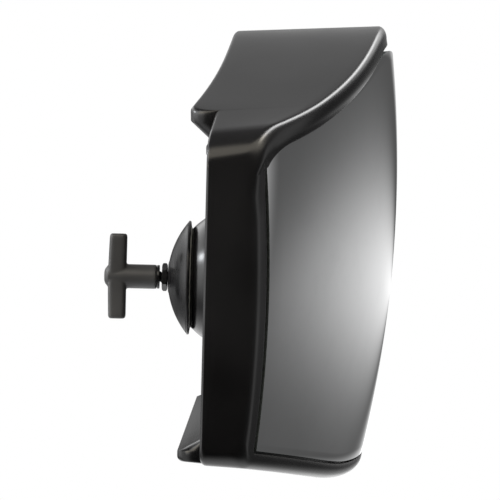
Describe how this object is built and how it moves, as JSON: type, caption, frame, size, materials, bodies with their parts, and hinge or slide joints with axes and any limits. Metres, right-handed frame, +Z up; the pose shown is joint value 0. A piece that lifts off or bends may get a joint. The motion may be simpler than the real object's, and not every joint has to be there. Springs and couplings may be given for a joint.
{
  "type": "towing mirror",
  "caption": "Wide convex mirror in an arched, hollow black plastic head, carried on a clamped ball socket with a threaded stud and a T-shaped knob for clamping it to a bracket.",
  "frame": {"origin": "on the stud's axis, on the outer face of the cup nut, where a bracket is clamped", "axes": "+X the way the glass faces, along the stud; +Y along the head's long side; +Z up, towards the head's arched edge"},
  "size_m": [0.1153, 0.356, 0.1691],
  "materials": {
    "black_plastic": "satin moulded",
    "knob_plastic": "matt moulded",
    "mirror": "polished",
    "film": "matt",
    "foam_tape": "matt foam",
    "zinc_steel": "zinc plated",
    "black_steel": "satin black",
    "white_nylon": "matt",
    "brass_metal": "turned"
  },
  "bodies": {
    "mount_side": {"pivot_stud": "black_steel", "cup_nut": "black_steel", "outer_cup": "black_steel", "inner_cup": "zinc_steel", "clamp_spring": "zinc_steel", "spring_washer": "zinc_steel", "lock_nut": "zinc_steel", "lock_nut_nylon_ring": "white_nylon"},
    "outer_ring": {"outer_friction_ring": "white_nylon"},
    "inner_ring": {"inner_friction_ring": "white_nylon"},
    "head": {"housing": "black_plastic", "mirror_glass": "mirror", "safety_film": "film", "tape_top": "foam_tape", "tape_bottom": "foam_tape", "tape_left": "foam_tape", "tape_right": "foam_tape"},
    "knob_carrier": {"knob_washer": "black_steel"},
    "knob": {"t_knob": "knob_plastic", "knob_insert": "brass_metal"}
  },
  "joints": [
    {"name": "head_roll", "type": "hinge", "parent": "mount_side", "child": "outer_ring", "pos_m": [0.0332, 0, 0], "axis": [1, 0, 0], "continuous": true},
    {"name": "head_pan", "type": "hinge", "parent": "outer_ring", "child": "inner_ring", "pos_m": [0.0332, 0, 0], "axis": [0, 0, 1], "range_deg": [-12, 12]},
    {"name": "head_tilt", "type": "hinge", "parent": "inner_ring", "child": "head", "pos_m": [0.0332, 0, 0], "axis": [0, 1, 0], "range_deg": [-12, 12]},
    {"name": "knob_travel", "type": "slide", "parent": "mount_side", "child": "knob_carrier", "axis": [1, 0, 0], "range_m": [-0.0075, 0.0008]},
    {"name": "knob_turn", "type": "hinge", "parent": "knob_carrier", "child": "knob", "pos_m": [0, 0, 0], "axis": [1, 0, 0], "range_deg": [-2520, 270]}
  ],
  "couplings": [
    {"joint": "knob_travel", "follows": "knob_turn", "m_per_rad": 0.00016839}
  ]
}
